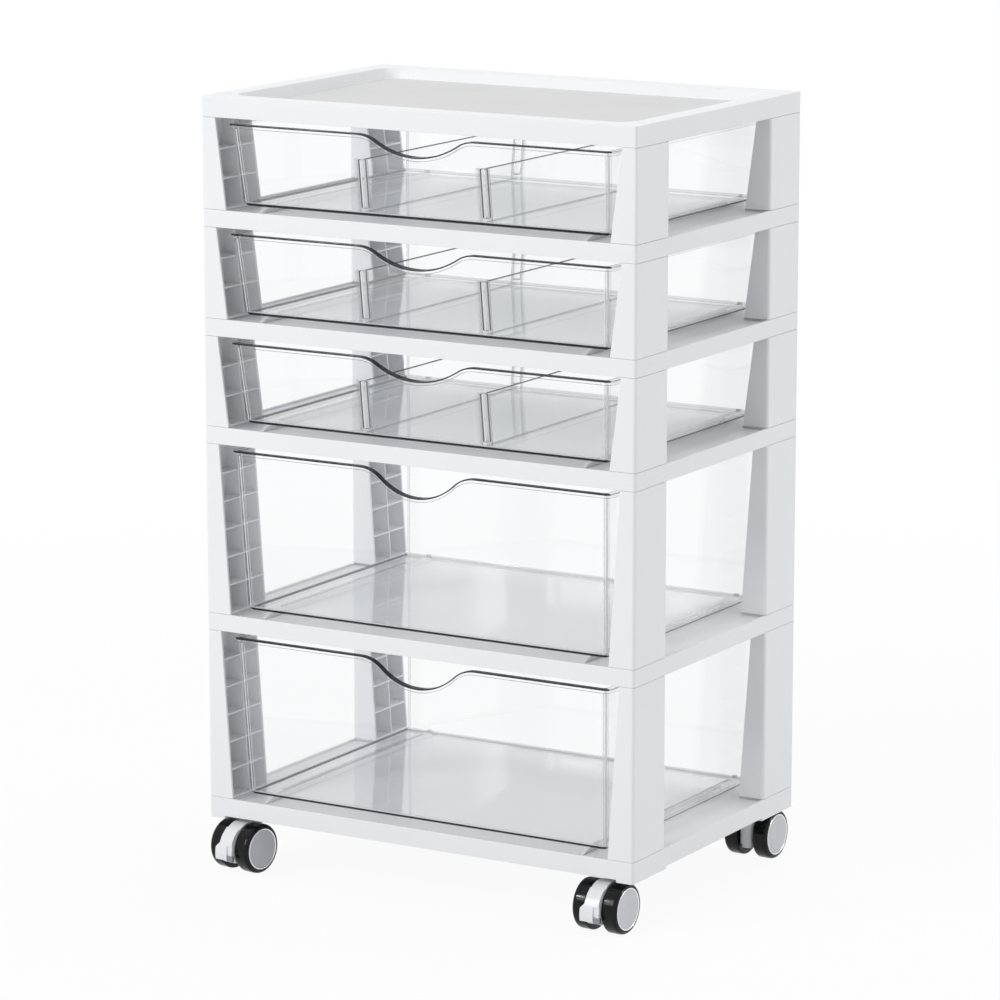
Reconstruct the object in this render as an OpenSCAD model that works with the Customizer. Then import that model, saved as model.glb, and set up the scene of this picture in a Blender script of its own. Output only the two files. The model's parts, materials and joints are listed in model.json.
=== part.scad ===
// Drawer tower on casters: moulded panels and posts stacked into a frame, with five clear drawers.
// Millimetres. The origin is on the floor under the middle of the frame, the drawers open
// towards -Y and +Z is up. Tiers count from the top.

/* [Frame] */
// Width of the frame, left to right
frame_w = 367; // [340:1:440]
// Depth of the frame, front to back
frame_d = 251; // [230:1:300]
// Clear height of each of the three upper tiers
short_tier_h = 68.4; // [62:0.1:90]
// Clear height of each of the two lower tiers
tall_tier_h = 129.6; // [110:0.1:170]
// Height of the top panel's edge
top_h = 15.3; // [14:0.1:20]
// Height of a shelf's edge
shelf_h = 13.1; // [12:0.1:18]
// Height of the base's edge with its corner pads
base_h = 16.1; // [15:0.1:22]
// Rounding of the frame's upright outer corners
corner_r = 2.5; // [1.5:0.1:3.5]

/* [Panels] */
// Thickness of the panels' edges
edge_t = 2.4; // [2:0.1:3]
// Thickness of the panels' floors
floor_t = 2.4; // [2:0.1:3]
// How far a shelf's floor lies below its edge
floor_drop = 1.6; // [1:0.1:2.5]
// Thickness of the ribs under a panel
rib_t = 1.6; // [1.2:0.1:2.2]
// Largest distance between the ribs under a panel
rib_pitch = 62; // [45:1:90]
// Distance of the ribs' lower edges from the panel's underside
rib_rise = 1.5; // [1:0.1:3]
// Height of the pads under the base's corners
pad_h = 2; // [1:0.1:3]
// Width of those pads, left to right
pad_w = 14; // [11:0.5:16]
// Depth of those pads, front to back
pad_d = 50; // [40:1:60]

/* [Tray] */
// Width of the level border round the tray in the top panel
tray_rim = 16; // [14:0.5:30]
// Depth of the tray
tray_drop = 8; // [5:0.1:9]
// How far the tray's wall leans in between its top and its floor
tray_lean = 4; // [1:0.1:6]
// Rounding of the tray's corners
tray_r = 14; // [8:0.5:24]
// Diameter of the dimple over each post
dimple_d = 6; // [4:0.1:7]
// Depth of each dimple
dimple_deep = 0.6; // [0.3:0.1:1]

/* [Posts] */
// Size of a post from front to back
post_d = 48; // [40:1:60]
// Thickness of a post at its top
post_top_t = 12.3; // [11:0.1:16]
// Thickness of a post at its foot
post_foot_t = 21.2; // [18:0.1:24]
// Wall of a post
post_wall = 2; // [1.6:0.1:2.6]
// Thickness of the ribs in a post's open side
post_rib_t = 1.4; // [1:0.1:2]
// Height of a cell between two of a post's ribs
post_cell_h = 22; // [16:0.5:34]
// Radius of the peg at each end of a post
peg_r = 3.1; // [2.5:0.1:3.4]
// Length of each peg
peg_h = 5.4; // [4:0.1:6]
// Distance of the pegs from the frame's side
peg_in = 8; // [7.6:0.1:8.4]
// Distance of the round pegs from the frame's front or back
peg_back = 22; // [18:0.5:28]
// Radius of the small pin beside each peg
pin_r = 1.6; // [1.2:0.1:2]
// Distance of the small pin from the peg
pin_step = 15; // [12:0.5:17]
// Gap round a peg or pin in its socket
peg_gap = 0.1; // [0.05:0.01:0.2]

/* [Runners] */
// Height of the drawer runners over a shelf's edge
runner_h = 2.5; // [2:0.1:4]
// Width of a runner
runner_w = 3; // [2.5:0.1:4]
// Distance of a runner's middle from the frame's side
runner_in = 46; // [40:0.5:60]
// Distance of a runner's tip from the frame's front
runner_front = 6; // [5:0.5:10]
// Length of the curved ramp at a runner's tip
ramp_l = 18; // [12:0.5:24]
// Height of the stop at a runner's back end
stop_h = 1.6; // [1:0.1:1.8]
// Thickness of the stop
stop_t = 3; // [2:0.1:4]

/* [Drawers] */
// Wall of a drawer
drawer_wall = 2; // [1.6:0.1:2.6]
// Gap over a drawer's rim
rim_gap = 4.4; // [3:0.1:7]
// Distance of a drawer's rim from the frame's side
rim_side = 21; // [19:0.5:24]
// Distance of a drawer's rim from the frame's front
rim_front = 2.2; // [1.5:0.1:4]
// How far the rim stands out from a drawer's sides
rim_out = 4; // [3:0.1:5]
// How far the rim stands out from a drawer's front and back
rim_out_front = 2.2; // [1.5:0.1:3]
// Height of the rim's turned-down edge
rim_h = 3.2; // [2.4:0.1:4]
// Thickness of the rim
rim_t = 1.8; // [1.4:0.1:2.4]
// How far a drawer's sides lean in from rim to floor
side_lean = 4; // [2:0.1:8]
// How far a drawer's front and back lean in from rim to floor
front_lean = 8.1; // [4:0.1:10]
// Rounding of a drawer's upright corners
drawer_r = 4; // [3:0.1:8]
// Rounding of a drawer's lower edges
drawer_foot_r = 3; // [2:0.1:4]
// Half the width of the finger dip in a drawer's front
dip_half_w = 49; // [35:0.5:60]
// Depth of the finger dip in a short drawer
dip_short = 14.3; // [10:0.1:16]
// Depth of the finger dip in a tall drawer
dip_tall = 19.2; // [14:0.1:24]
// Rounding of the dip's shoulders
dip_shoulder_r = 26; // [20:0.5:32]
// How far a drawer slides out
drawer_travel = 190; // [120:1:190]

/* [Dividers] */
// Distance between a drawer's two dividers
divider_step = 102.8; // [80:0.1:120]
// Thickness of a divider
divider_t = 1.8; // [1.4:0.1:2.4]
// Height of a divider's top over the drawer's underside
divider_h = 41.5; // [30:0.5:46.5]
// Diameter of the round bead at each end of a divider
bead_d = 6.4; // [5:0.1:8]
// Gap between a bead and the slot that holds it
slot_gap = 0.4; // [0.3:0.05:0.6]
// Thickness of the slot's ribs
slot_rib_t = 1.4; // [1.2:0.1:2]
// How far the slot's ribs stand out from the drawer's wall
slot_rib_out = 3.6; // [2.5:0.1:5]
// How far the slot's ribs rise over the divider
slot_rib_rise = 0.2; // [0:0.1:4]

/* [Casters] */
// Diameter of a wheel
wheel_d = 38; // [34:0.5:44]
// Width of a wheel
wheel_w = 12; // [10:0.1:14]
// Width of the caster's body between its wheels
housing_w = 12; // [10:0.1:14]
// Gap between the body and a wheel
wheel_gap = 0.5; // [0.4:0.05:0.8]
// Rounding of a tyre's outer edge
tyre_r = 3; // [2:0.1:4]
// Diameter of a hub cap
cap_d = 31.4; // [26:0.1:32]
// Distance of the axle from the caster's turning axis
trail = 12; // [11:0.1:13]
// Distance of the turning axis from the frame's side
caster_in = 26.5; // [26:0.5:40]
// Distance of the turning axis from the frame's front or back
caster_back = 21; // [20:0.5:30]
// Gap between a wheel and the base's pads
caster_gap = 2.2; // [1.8:0.1:4]
// Radius of the stem
stem_r = 4; // [3.5:0.1:4.2]
// Radius of the body's upright socket round the stem
socket_r = 6.2; // [6:0.1:7]
// Radius of an axle
axle_r = 2; // [1.6:0.1:2.4]
// Running gap round an axle or stem
run_gap = 0.05; // [0.02:0.01:0.1]
// Turn of the front left caster from straight ahead
turn_front_left = -7.5; // [-20:0.5:20]
// Turn of the front right caster from straight ahead
turn_front_right = -1.5; // [-20:0.5:20]
// Turn of the rear left caster from straight back
turn_rear_left = 6; // [-20:0.5:20]
// Turn of the rear right caster from straight back
turn_rear_right = -1; // [-20:0.5:20]

/* [Brake levers] */
// Gap between a brake lever and the tyres
lever_gap = 1.1; // [0.8:0.1:1.5]
// Thickness of a lever at its middle
lever_t = 2.7; // [2:0.1:3]
// How far the lever's outer curve is set down, which thins its upper end
lever_set = 3; // [2:0.1:3.5]
// Angle of a lever's upper end over the axle
lever_top_a = 52; // [45:1:54]
// Angle of a lever's lower end under the axle
lever_foot_a = 18; // [15:1:24]
// Angle over the axle at which the foot has its full width
foot_top_a = 6; // [2:1:9]
// Angle over the axle at which the foot's shoulders begin
shoulder_a = 15; // [12:1:20]
// How far the foot reaches out over the tyre on its wide side
foot_out = 3.2; // [2:0.1:6]
// How far it reaches out on its other side
foot_side = 1; // [0.5:0.1:2]
// Radius of the lever's hinge pin
hinge_r = 1.5; // [1.2:0.1:1.8]

/* [Hidden] */
$fn = 64;
eps = 0.01;
over_cut = 4;
hull_fn = 32;
white = "#eef0f3";
clear = [0.86, 0.9, 0.93, 0.35];
tyre_black = "#161618";
cap_grey = "#c4c4c9";
steel = "#b4b6ba";

TIERS = [1 : 5];
SHORT_TIERS = [1 : 3];
LEVELS = [1 : 4];
CORNERS = ["front_left", "front_right", "rear_left", "rear_right"];
FRONT_CORNERS = ["front_left", "front_right"];
SIDES = ["left", "right"];
WHEELS = ["outer", "inner"];

// Levels
wheel_r = wheel_d / 2;
base_z = wheel_d + caster_gap;
function tier_h(t) = t <= 3 ? short_tier_h : tall_tier_h;
function seam_z(t) = t > 4 ? base_z + base_h : seam_z(t + 1) + tier_h(t + 1) + shelf_h;
top_z = seam_z(1) + tier_h(1);

// Corners: -1 is left or front, 1 is right or back
function side_of(corner) = (corner == "front_left" || corner == "rear_left") ? -1 : 1;
function end_of(corner) = (corner == "front_left" || corner == "front_right") ? -1 : 1;

// Bosses round the pegs' sockets, and a socket's depth where it ends blind
boss_wall = 2;
socket_h = peg_h + 1;
dimple_shift = 1;

// Ribs under a panel, spread evenly between its edges
function rib_count(span) = ceil(span / rib_pitch) - 1;

// Posts
function post_cells(h) = max(2, round((h - 2 * post_wall) / post_cell_h));

// Drawers, measured from the drawer's underside
function rim_z(t) = tier_h(t) - rim_gap - runner_h;
tub_top_w = frame_w - 2 * (rim_side + rim_out);
tub_top_d = frame_d - 2 * (rim_front + rim_out_front);
guide_w = 1.6;
guide_clear = 0.6;
guide_h = runner_h - guide_clear;
guide_gap = 0.8;
guide_end_gap = 24;
least_r = 1.5;
foot_steps = 3;

// Runners and their ramp: an arc that rises from the floor and ends level
ramp_rise = runner_h + floor_drop;
ramp_r = (ramp_l * ramp_l + ramp_rise * ramp_rise) / (2 * ramp_rise);
ramp_steps = 10;
stop_gap = 3.5;

// Dividers
slot_deep = drawer_wall + slot_gap + bead_d / 2;
divider_floor_gap = 0.2;

// Finger dip: an arc at the bottom that meets an arc at each shoulder
dip_steps = 36;
function dip_depth(t) = t <= 3 ? dip_short : dip_tall;
function dip_r_sum(d) = (dip_half_w * dip_half_w + d * d) / (2 * d);
function dip_low_r(d) = dip_r_sum(d) - dip_shoulder_r;
function dip_join(d) = dip_half_w * dip_low_r(d) / dip_r_sum(d);
function dip_z(x, d) =
    abs(x) >= dip_half_w ? 0
    : abs(x) > dip_join(d)
    ? sqrt(pow(dip_shoulder_r, 2) - pow(dip_half_w - abs(x), 2)) - dip_shoulder_r
    : dip_low_r(d) - d - sqrt(pow(dip_low_r(d), 2) - x * x);

// Casters, measured from the turning axis on the floor with the axle towards -Y
hood_r = wheel_r + 0.3;
hood_wall = 2;
hood_foot_z = wheel_r - 10;
housing_top_z = wheel_d + 0.2;
socket_foot_z = wheel_r - 7;
socket_tip_h = 2.5;
socket_step = 1.2;
stem_foot_z = socket_foot_z + 3;
collar_r = socket_r - 0.5;
collar_gap = 0.3;
boss_r = stem_r + 4.5;
boss_z = base_z + pad_h;
stem_up = 9;
stem_spare = 0.5;
press_gap = 0.02;
wheel_x = housing_w / 2 + wheel_gap;
axle_half = wheel_x + wheel_w - 3;
hub_r = axle_r + 3;
tread_t = 4.5;
wheel_inner_r = 1.5;
axle_end_gap = 0.2;
cap_gap = 0.2;
cap_t = 1.8;
cap_seat = 1.6;
web_t = 2;
lever_in_r = wheel_r + lever_gap;
lever_out_r = lever_in_r + lever_t;
hinge_dist = wheel_r - 3;
hinge_a = lever_top_a - 4;
hinge_y = -trail - hinge_dist * cos(hinge_a);
hinge_z = wheel_r + hinge_dist * sin(hinge_a);
lug_w = 5;
lug_r = hinge_r + 1.3;
lug_side_gap = 0.4;
lug_room = 0.6;
lug_lap = 0.3;
hinge_l = housing_w - 1;
slot_below = 3;
recess_w = 3.4;
recess_h = 11.2;
recess_deep = 1.4;
recess_edge = 1.6;
notch_h = 4;
tab_out = 0.8;
tab_drop = 0.8;
tab_gap = 0.3;
tab_t = 1.8;

// A flat rectangle with true round corners, centred
module round_rect(w, d, r) {
    square([w - 2 * r, d], center = true);
    square([w, d - 2 * r], center = true);
    for (x = [-1, 1]) {
        for (y = [-1, 1]) {
            translate([x * (w / 2 - r), y * (d / 2 - r)]) circle(r);
        }
    }
}

// Puts a shape drawn for the front left corner, with its own corner at 0,0, at any corner
module at_corner(corner) {
    sx = side_of(corner);
    sy = end_of(corner);
    translate([sx * frame_w / 2, sy * frame_d / 2, 0])
        mirror([sx > 0 ? 1 : 0, 0, 0])
        mirror([0, sy > 0 ? 1 : 0, 0])
        children();
}

module at_corners() {
    for (c = CORNERS) {
        at_corner(c) children();
    }
}

// A flat area in the frame's corner, with the frame's round corner
module corner_outline(w, d) {
    translate([corner_r, 0]) square([w - corner_r, d]);
    translate([0, corner_r]) square([w, d - corner_r]);
    translate([corner_r, corner_r]) circle(corner_r);
}

// A box in the frame's corner, open below, with the panels' wall and a lid
module corner_box(w, d, h, lid) {
    difference() {
        linear_extrude(h) corner_outline(w, d);
        translate([edge_t, edge_t, -eps])
            cube([w - 2 * edge_t, d - 2 * edge_t, h - lid + eps]);
    }
}

// Places of the peg and the pin in one corner
module at_pegs() {
    translate([peg_in, peg_back, 0]) children(0);
    translate([peg_in, peg_back + pin_step, 0]) children(1);
}

// Hollow seat for a post in one corner of a panel, open below, with bosses for the pegs
module corner_seat(h, lid) {
    corner_box(post_foot_t, post_d, h, lid);
    intersection() {
        linear_extrude(h) corner_outline(post_foot_t, post_d);
        at_pegs() {
            cylinder(r = peg_r + boss_wall, h = h);
            cylinder(r = pin_r + boss_wall, h = h);
        }
    }
}

// Sockets for the pegs, from z = 0 up
module peg_sockets(h) {
    at_pegs() {
        translate([0, 0, -eps]) cylinder(r = peg_r + peg_gap, h = h + 2 * eps);
        translate([0, 0, -eps]) cylinder(r = pin_r + peg_gap, h = h + 2 * eps);
    }
}

// Crossed ribs under a panel
module under_ribs(z0, z1) {
    w = frame_w - 2 * edge_t;
    d = frame_d - 2 * edge_t;
    nx = rib_count(w);
    ny = rib_count(d);
    for (i = [1 : nx]) {
        x = -w / 2 + w * i / (nx + 1);
        translate([x - rib_t / 2, -frame_d / 2 + edge_t - eps, z0])
            cube([rib_t, d + 2 * eps, z1 - z0]);
    }
    for (i = [1 : ny]) {
        y = -d / 2 + d * i / (ny + 1);
        translate([-frame_w / 2 + edge_t - eps, y - rib_t / 2, z0])
            cube([w + 2 * eps, rib_t, z1 - z0]);
    }
}

// Side view of a runner: ramp, level top and raised stop, in y and z
module runner_outline() {
    y0 = -frame_d / 2 + runner_front;
    y1 = frame_d / 2 - rim_front - rim_out_front - front_lean + stop_gap;
    top = runner_h;
    ramp = [
        for (i = [0 : ramp_steps])
        let (s = ramp_l * i / ramp_steps)
        [y0 + s, top - ramp_r + sqrt(pow(ramp_r, 2) - pow(ramp_l - s, 2))]
    ];
    polygon(concat(
        [[y0, -floor_drop - eps]],
        ramp,
        [
            [y1, top],
            [y1, top + stop_h],
            [y1 + stop_t, top + stop_h],
            [y1 + stop_t, -floor_drop - eps]
        ]
    ));
}

// The two runners of a tier, from the level of the seam
module runners() {
    for (x = [-1, 1]) {
        translate([x * (frame_w / 2 - runner_in) - runner_w / 2, 0, 0])
            rotate([90, 0, 90])
            linear_extrude(runner_w)
            runner_outline();
    }
}

// A shelf's edge, floor, ribs, post seats and runners, from z = foot up to z = h
module shelf_body(h, foot) {
    difference() {
        union() {
            difference() {
                translate([0, 0, foot])
                    linear_extrude(h - foot)
                    round_rect(frame_w, frame_d, corner_r);
                translate([0, 0, h - floor_drop])
                    linear_extrude(floor_drop + eps)
                    square([frame_w - 2 * edge_t, frame_d - 2 * edge_t], center = true);
                translate([0, 0, -eps])
                    linear_extrude(h - floor_drop - floor_t + eps)
                    square([frame_w - 2 * edge_t, frame_d - 2 * edge_t], center = true);
            }
            under_ribs(foot + rib_rise, h - floor_drop - floor_t + eps);
            at_corners() translate([0, 0, foot]) corner_seat(h - foot, floor_t);
            translate([0, 0, h]) runners();
        }
        children();
    }
}

module shelf(s) {
    color(white)
        translate([0, 0, seam_z(s) - shelf_h])
        shelf_body(shelf_h, 0) {
            at_corners() peg_sockets(shelf_h);
        }
}

module base_frame() {
    color(white)
        translate([0, 0, base_z]) {
            difference() {
                union() {
                    shelf_body(base_h, pad_h) {
                        at_corners() translate([0, 0, base_h - socket_h]) peg_sockets(socket_h);
                    }
                    at_corners() corner_box(pad_w, pad_d, pad_h + edge_t, edge_t);
                    at_corners()
                        translate([caster_in, caster_back, pad_h])
                        cylinder(r = boss_r, h = base_h - floor_drop - pad_h - eps);
                }
                at_corners()
                    translate([caster_in, caster_back, pad_h - eps])
                    cylinder(r = stem_r + press_gap, h = stem_up + stem_spare);
            }
        }
}

// The hollow of the tray, up from the level of its floor
module tray_hollow(grow) {
    w = frame_w - 2 * tray_rim;
    d = frame_d - 2 * tray_rim;
    low = tray_lean - grow;
    hull() {
        translate([0, 0, tray_drop - eps])
            linear_extrude(eps * 2) round_rect(w + 2 * grow, d + 2 * grow, tray_r, $fn = hull_fn);
        linear_extrude(eps)
            round_rect(w - 2 * low, d - 2 * low, tray_r - tray_lean / 2, $fn = hull_fn);
    }
}

module top_panel() {
    tray_z = top_h - tray_drop;
    color(white)
        translate([0, 0, top_z])
        difference() {
            union() {
                difference() {
                    linear_extrude(top_h) round_rect(frame_w, frame_d, corner_r);
                    difference() {
                        translate([0, 0, -eps])
                            linear_extrude(top_h - floor_t + eps)
                            square([frame_w - 2 * edge_t, frame_d - 2 * edge_t], center = true);
                        translate([0, 0, tray_z - floor_t])
                            linear_extrude(top_h)
                            round_rect(
                                frame_w - 2 * tray_rim + 2 * floor_t,
                                frame_d - 2 * tray_rim + 2 * floor_t,
                                tray_r + floor_t
                            );
                    }
                }
                under_ribs(rib_rise, tray_z - floor_t + eps);
                at_corners() corner_seat(top_h - eps, floor_t);
            }
            at_corners() peg_sockets(socket_h);
            translate([0, 0, tray_z]) tray_hollow(0);
            at_corners()
                translate([peg_in + dimple_shift, peg_back, top_h - dimple_deep])
                cylinder(d = dimple_d, h = dimple_deep + eps);
        }
}

// A post for the front left corner, standing on z = 0
module post_body(h) {
    cells = post_cells(h);
    pitch = (h - 2 * post_wall + post_rib_t) / cells;
    column = (post_d - 2 * post_wall - post_rib_t) / 2;
    difference() {
        intersection() {
            translate([0, post_d, 0])
                rotate([90, 0, 0])
                linear_extrude(post_d)
                polygon([[0, 0], [post_foot_t, 0], [post_top_t, h], [0, h]]);
            linear_extrude(h)
                union() {
                    translate([corner_r, 0]) square([post_foot_t, post_d]);
                    translate([0, corner_r]) square([post_foot_t, post_d - 2 * corner_r]);
                    translate([corner_r, corner_r]) circle(corner_r);
                    translate([corner_r, post_d - corner_r]) circle(corner_r);
                }
        }
        for (i = [0 : cells - 1]) {
            for (j = [0, 1]) {
                translate([
                    post_wall,
                    post_wall + j * (column + post_rib_t),
                    post_wall + i * pitch
                ])
                    cube([post_foot_t, column, pitch - post_rib_t]);
            }
        }
    }
    for (z = [-peg_h, h - eps]) {
        translate([0, 0, z])
            at_pegs() {
                cylinder(r = peg_r, h = peg_h + eps);
                cylinder(r = pin_r, h = peg_h + eps);
            }
    }
}

module post(t, corner) {
    color(white)
        at_corner(corner)
        translate([0, 0, seam_z(t)])
        post_body(tier_h(t));
}

// A drawer's tapered block, with its walls moved in by inset
module tub(t, inset) {
    h = rim_z(t);
    w = tub_top_w - 2 * inset;
    d = tub_top_d - 2 * inset;
    r = max(drawer_r - inset, least_r);
    foot = drawer_foot_r;
    hull() {
        translate([0, 0, h - eps])
            linear_extrude(eps) round_rect(w, d, r, $fn = hull_fn);
        for (k = [0 : foot_steps]) {
            a = 90 * k / foot_steps;
            out = foot * (1 - sin(a));
            up = foot * (1 - cos(a));
            lean = 1 - up / h;
            translate([0, 0, up])
                linear_extrude(eps)
                round_rect(
                    w - 2 * side_lean * lean - 2 * out,
                    d - 2 * front_lean * lean - 2 * out,
                    r,
                    $fn = hull_fn
                );
        }
    }
}

// The dip's outline, drop below the rim's top edge, seen from the front
module dip_outline(d, drop, high) {
    w = dip_half_w;
    polygon(concat(
        [[w, high], [-w, high]],
        [for (i = [0 : dip_steps]) let (x = -w + 2 * w * i / dip_steps) [x, dip_z(x, d) - drop]]
    ));
}

// Everything over the dip's curve in the front half of a drawer, drop below its edge
module dip_cut(t, drop) {
    translate([0, 0, rim_z(t)])
        rotate([90, 0, 0])
        linear_extrude(frame_d)
        dip_outline(dip_depth(t), drop, rim_h);
}

// Ribs on the inner front and back walls that hold the dividers' beads
module slot_ribs(t) {
    x_out = bead_d / 2 + slot_gap;
    difference() {
        intersection() {
            tub(t, drawer_wall / 2);
            for (s = [-1, 1]) {
                for (e = [-x_out - slot_rib_t, x_out]) {
                    translate([s * divider_step / 2 + e, -frame_d / 2, 0])
                        cube([slot_rib_t, frame_d, divider_h + slot_rib_rise]);
                }
            }
        }
        tub(t, drawer_wall + slot_rib_out);
    }
}

module drawer_body(t) {
    h = rim_z(t);
    rim_w = tub_top_w + 2 * rim_out;
    rim_d = tub_top_d + 2 * rim_out_front;
    rim_r = drawer_r + rim_out_front;
    guide_x = frame_w / 2 - runner_in + runner_w / 2 + guide_gap;
    guide_l = frame_d - 2 * (rim_front + rim_out_front + front_lean + guide_end_gap);
    difference() {
        union() {
            difference() {
                union() {
                    tub(t, 0);
                    difference() {
                        translate([0, 0, h - rim_h])
                            linear_extrude(rim_h) round_rect(rim_w, rim_d, rim_r);
                        translate([0, 0, h - rim_h - eps])
                            linear_extrude(rim_h - rim_t)
                            round_rect(rim_w - 2 * rim_t, tub_top_d, drawer_r);
                    }
                    intersection() {
                        dip_rim(t);
                        translate([0, -frame_d / 2 + rim_front + frame_d / 4, h / 2])
                            cube([rim_w, frame_d / 2, h], center = true);
                    }
                }
                translate([0, 0, drawer_wall]) tub_inside(t);
            }
            if (t <= 3) {
                slot_ribs(t);
            }
            for (x = [-guide_x - guide_w, guide_x]) {
                translate([x, -guide_l / 2, -guide_h])
                    cube([guide_w, guide_l, guide_h + drawer_wall / 2]);
            }
        }
        difference() {
            dip_cut(t, 0);
            translate([0, frame_d / 2, h / 2]) cube([frame_w, frame_d, 2 * h], center = true);
        }
    }
}

// The hollow inside a drawer's walls, open at the top
module tub_inside(t) {
    intersection() {
        tub(t, drawer_wall);
        translate([0, 0, rim_z(t) / 2])
            cube([frame_w, frame_d, rim_z(t) + 2 * eps], center = true);
    }
    translate([0, 0, rim_z(t) - drawer_wall - eps])
        linear_extrude(drawer_wall + over_cut)
        round_rect(
            tub_top_w - 2 * drawer_wall,
            tub_top_d - 2 * drawer_wall,
            max(drawer_r - drawer_wall, least_r)
        );
}

// The rim's front bar where it follows the finger dip
module dip_rim(t) {
    difference() {
        dip_cut(t, rim_h);
        dip_cut(t, 0);
        translate([0, -frame_d, 0]) cube([frame_w, frame_d, frame_d], center = true);
    }
}

module drawer(t) {
    color(clear)
        translate([0, 0, seam_z(t) + runner_h])
        drawer_body(t);
}

// Half the distance between a divider's beads at height z over the drawer's underside
function bead_y(t, z) = tub_top_d / 2 - front_lean * (1 - z / rim_z(t)) - slot_deep;

module divider_body(t) {
    z0 = drawer_wall + divider_floor_gap;
    lean_a = atan(front_lean / rim_z(t));
    translate([-divider_t / 2, 0, 0])
        rotate([90, 0, 90])
        linear_extrude(divider_t)
        polygon([
            [-bead_y(t, z0), z0],
            [bead_y(t, z0), z0],
            [bead_y(t, divider_h), divider_h],
            [-bead_y(t, divider_h), divider_h]
        ]);
    intersection() {
        translate([-bead_d, -frame_d / 2, z0 + drawer_foot_r])
            cube([2 * bead_d, frame_d, divider_h - z0 - drawer_foot_r]);
        for (e = [-1, 1]) {
            translate([0, e * bead_y(t, 0), 0])
                rotate([-e * lean_a, 0, 0])
                translate([0, 0, -bead_d])
                cylinder(d = bead_d, h = divider_h + 2 * bead_d);
        }
    }
}

module divider(t, side) {
    x = side == "left" ? -divider_step / 2 : divider_step / 2;
    color(clear)
        translate([x, 0, seam_z(t) + runner_h])
        divider_body(t);
}

// Turns a caster part into its place: its axle trails away from the frame's middle
function caster_turn(corner) =
    corner == "front_left" ? turn_front_left
    : corner == "front_right" ? turn_front_right
    : corner == "rear_left" ? 180 + turn_rear_left
    : 180 + turn_rear_right;

module at_caster(corner) {
    translate([
        side_of(corner) * (frame_w / 2 - caster_in),
        end_of(corner) * (frame_d / 2 - caster_back),
        0
    ])
        rotate([0, 0, caster_turn(corner)])
        children();
}

// A round part on the axle's line, drawn along +Z from the caster's middle
module on_axle() {
    translate([0, -trail, wheel_r]) rotate([0, 90, 0]) children();
}

module caster_stem(corner) {
    color(steel)
        at_caster(corner) {
            translate([0, 0, stem_foot_z])
                cylinder(r = stem_r, h = boss_z + stem_up - stem_foot_z);
            translate([0, 0, housing_top_z + collar_gap])
                cylinder(r = collar_r, h = boss_z - housing_top_z - collar_gap);
        }
}

// The lever's hinge line, drawn along +Z from the caster's middle
module on_hinge() {
    translate([0, hinge_y, hinge_z]) rotate([0, 90, 0]) children();
}

module caster_housing(corner) {
    has_lever = end_of(corner) < 0;
    slot_w = lug_w + 2 * lug_side_gap;
    color(white)
        at_caster(corner) {
            difference() {
                union() {
                    intersection() {
                        on_axle() cylinder(r = hood_r, h = housing_w, center = true);
                        translate([-housing_w, -trail - 2 * wheel_r, hood_foot_z])
                            cube([2 * housing_w, trail + 2 * wheel_r, housing_top_z - hood_foot_z]);
                    }
                    translate([0, 0, socket_foot_z])
                        cylinder(r = socket_r, h = housing_top_z - socket_foot_z);
                    translate([0, 0, socket_foot_z - socket_tip_h])
                        cylinder(r = socket_r - socket_step, h = socket_tip_h + eps);
                }
                // the wheels take the room beside the body
                for (x = [-1, 1]) {
                    on_axle()
                        translate([0, 0, x * (housing_w / 2 + wheel_w)])
                        cylinder(r = wheel_r + wheel_gap, h = 2 * wheel_w, center = true);
                }
                translate([0, 0, stem_foot_z - stem_spare])
                    cylinder(r = stem_r + run_gap, h = housing_top_z);
                on_axle() cylinder(r = axle_r + press_gap, h = 2 * housing_w, center = true);
                // hollow under the hood, open below
                difference() {
                    intersection() {
                        on_axle()
                            cylinder(r = hood_r - hood_wall, h = housing_w - 2 * hood_wall, center = true);
                        translate([-housing_w, -trail - wheel_r, -eps])
                            cube([2 * housing_w, trail + wheel_r - socket_r, wheel_r]);
                    }
                    on_axle() cylinder(r = hub_r, h = housing_w, center = true);
                }
                if (has_lever) {
                    on_hinge() cylinder(r = lug_r + lug_room, h = slot_w, center = true);
                    translate([-slot_w / 2, hinge_y - wheel_r, hinge_z - lug_r - slot_below])
                        cube([slot_w, wheel_r, 2 * lug_r + slot_below + lug_room]);
                }
            }
            if (has_lever) {
                on_hinge() cylinder(r = hinge_r, h = hinge_l, center = true);
            }
        }
}

module axle(corner) {
    color(steel)
        at_caster(corner)
        on_axle()
        cylinder(r = axle_r, h = 2 * axle_half, center = true);
}

// A tyre's cross-section beside its hub: radius along x, width along y from the inner face
module wheel_outline() {
    rim_in = wheel_r - tread_t;
    hub_end = axle_half - wheel_x + axle_end_gap;
    // tread with a small round at the inner face and a larger one at the outer face
    difference() {
        translate([rim_in, 0]) square([tread_t, wheel_w]);
        translate([wheel_r - tyre_r, wheel_w - tyre_r]) square(2 * tyre_r);
        translate([wheel_r - wheel_inner_r, -wheel_inner_r]) square(2 * wheel_inner_r);
    }
    translate([wheel_r - tyre_r, wheel_w - tyre_r]) circle(tyre_r);
    translate([wheel_r - wheel_inner_r, wheel_inner_r]) circle(wheel_inner_r);
    // web and hub
    translate([axle_r + run_gap, wheel_w - cap_seat - web_t]) square([rim_in - axle_r, web_t]);
    translate([axle_r + run_gap, 0]) square([hub_r - axle_r, wheel_w - cap_seat]);
    translate([0, hub_end]) square([hub_r, wheel_w - cap_seat - hub_end]);
}

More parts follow.
